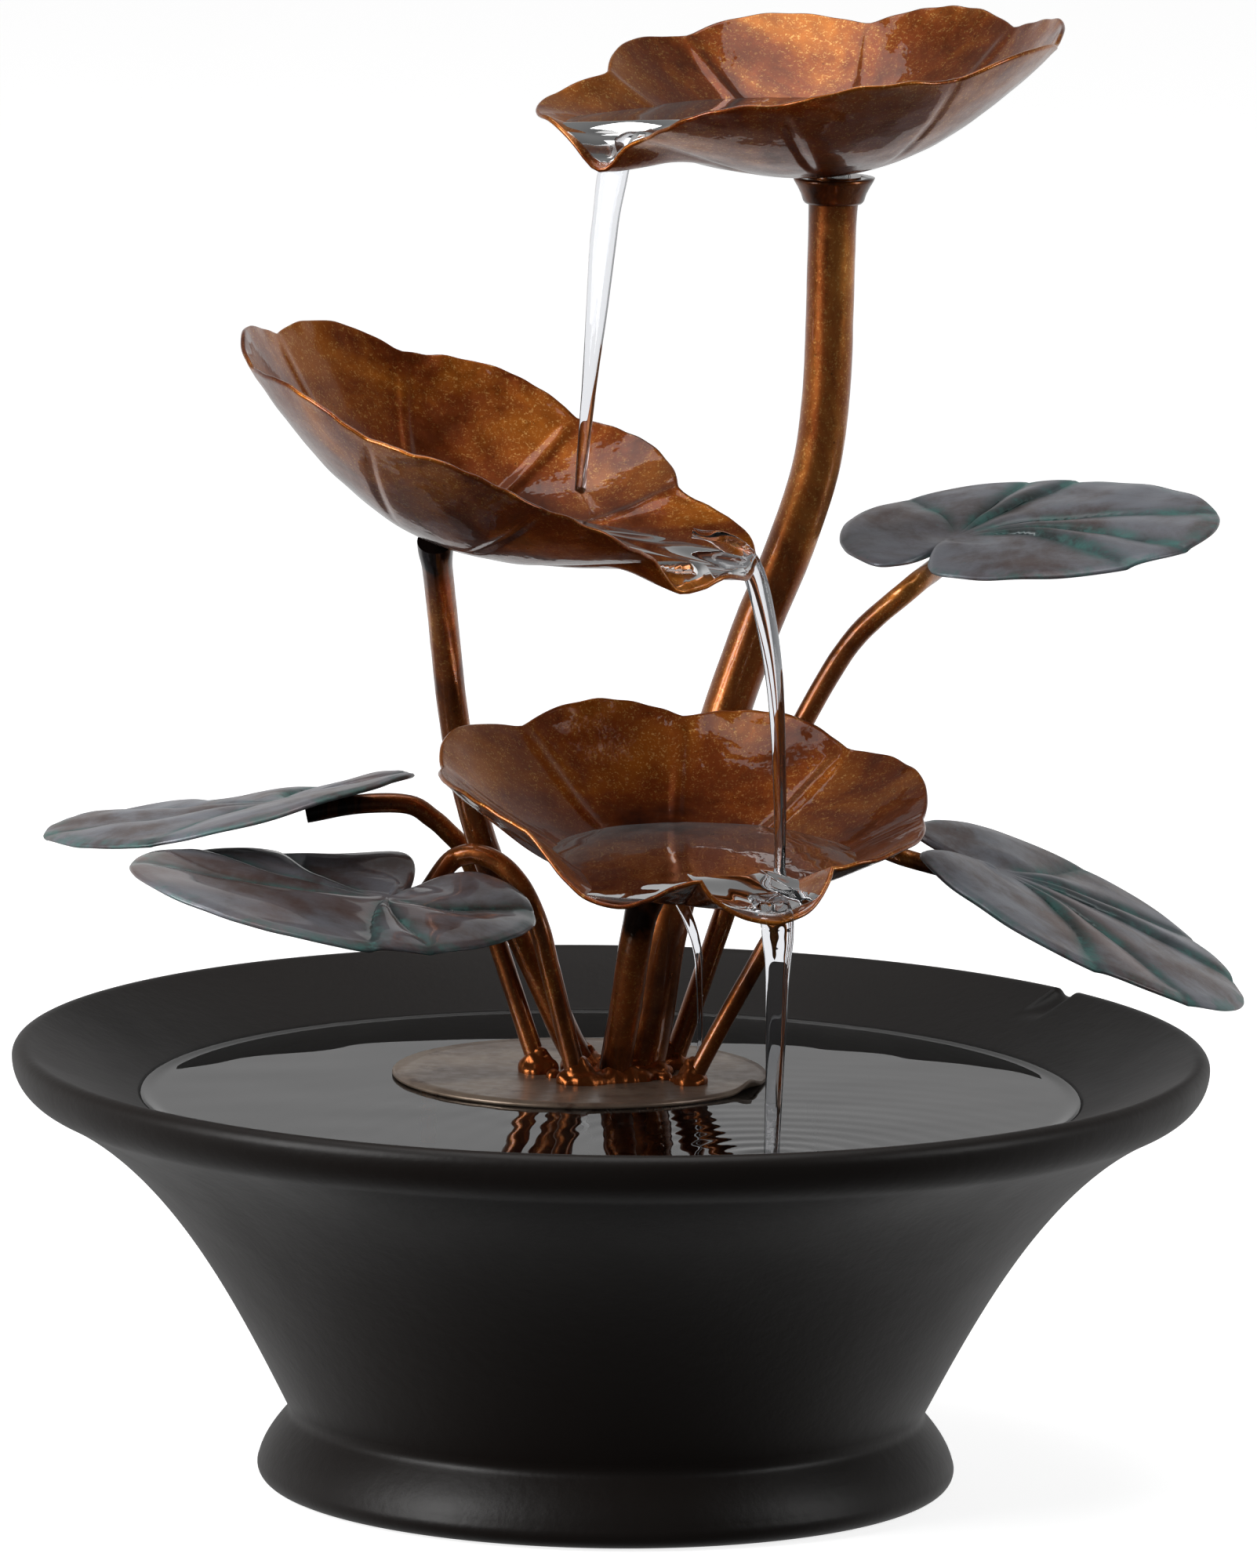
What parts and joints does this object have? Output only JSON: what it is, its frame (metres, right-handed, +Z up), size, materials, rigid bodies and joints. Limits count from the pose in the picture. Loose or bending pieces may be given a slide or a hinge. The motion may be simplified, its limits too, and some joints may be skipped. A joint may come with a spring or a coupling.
{
  "type": "tabletop water fountain",
  "caption": "Tabletop fountain: metal lily pads and pouring dishes on bent stems stand on a round plate over a pump in a flared, footed basin.",
  "frame": {"origin": "on the basin's axis, at the underside of the felt pad", "axes": "+Z up along the basin's axis; -Y towards the front of the fountain; +X to the right seen from the front"},
  "size_m": [0.2357, 0.229, 0.2787],
  "materials": {
    "basin_charcoal": "satin charcoal glaze",
    "foot_felt": "black felt",
    "stem_copper_bronze": "lacquered copper bronze, glossy",
    "dish_copper_lacquer": "flame-coloured copper under gloss lacquer",
    "leaf_patina": "slate-brown patina with verdigris in the veins, satin",
    "base_plate_brown": "brown patina, satin",
    "pump_plastic": "moulded black",
    "impeller_plastic": "moulded light grey",
    "pump_rubber": "moulded",
    "ferrite_magnet": "sintered ferrite",
    "shaft_steel": "ground",
    "stator_laminations": "stacked sheets",
    "coil_winding": "enamelled wire",
    "clear_vinyl": "clear"
  },
  "bodies": {
    "bowl": {"basin": "basin_charcoal", "felt_base_pad": "foot_felt"},
    "pump": {"pump_housing": "pump_plastic", "volute_cover": "pump_plastic", "volute_seal": "pump_rubber", "motor_back_cover": "pump_plastic", "pump_cord_gland": "pump_rubber", "stator_core": "stator_laminations", "stator_coil": "coil_winding", "rotor_shaft": "shaft_steel", "shaft_rear_bush": "pump_rubber", "shaft_front_stop": "pump_rubber", "suction_cup_1": "pump_rubber", "suction_cup_2": "pump_rubber", "suction_cup_3": "pump_rubber", "suction_cup_4": "pump_rubber"},
    "rotor": {"impeller": "impeller_plastic", "rotor_magnet": "ferrite_magnet"},
    "intake": {"intake_cover": "pump_plastic"},
    "dial": {"flow_regulator": "impeller_plastic"},
    "plant": {"base_plate": "base_plate_brown", "support_leg_1": "stem_copper_bronze", "support_leg_2": "stem_copper_bronze", "support_leg_3": "stem_copper_bronze", "main_stem": "stem_copper_bronze", "supply_hose": "clear_vinyl", "top_dish_collar": "stem_copper_bronze", "middle_dish_stem": "stem_copper_bronze", "lower_dish_stem": "stem_copper_bronze", "upper_right_stem": "stem_copper_bronze", "lower_right_stem": "stem_copper_bronze", "left_back_stem": "stem_copper_bronze", "left_front_stem": "stem_copper_bronze", "top_dish": "dish_copper_lacquer", "middle_dish": "dish_copper_lacquer", "lower_dish": "dish_copper_lacquer", "upper_right_leaf": "leaf_patina", "lower_right_leaf": "leaf_patina", "left_back_leaf": "leaf_patina", "left_front_leaf": "leaf_patina"}
  },
  "joints": [
    {"name": "pump_lift", "type": "slide", "parent": "bowl", "child": "pump", "axis": [0, 0, 1], "range_m": [0, 0.1]},
    {"name": "plant_lift", "type": "slide", "parent": "pump", "child": "plant", "axis": [0, 0, 1], "range_m": [0, 0.06]},
    {"name": "rotor_spin", "type": "hinge", "parent": "pump", "child": "rotor", "pos_m": [0, 0.019, 0.0288], "axis": [1, 0, 0], "continuous": true},
    {"name": "intake_cover_slide", "type": "slide", "parent": "pump", "child": "intake", "axis": [-1, 0, 0], "range_m": [0, 0.018]},
    {"name": "flow_dial_turn", "type": "hinge", "parent": "intake", "child": "dial", "pos_m": [0, 0.019, 0.0288], "axis": [1, 0, 0], "range_deg": [0, 90]}
  ]
}
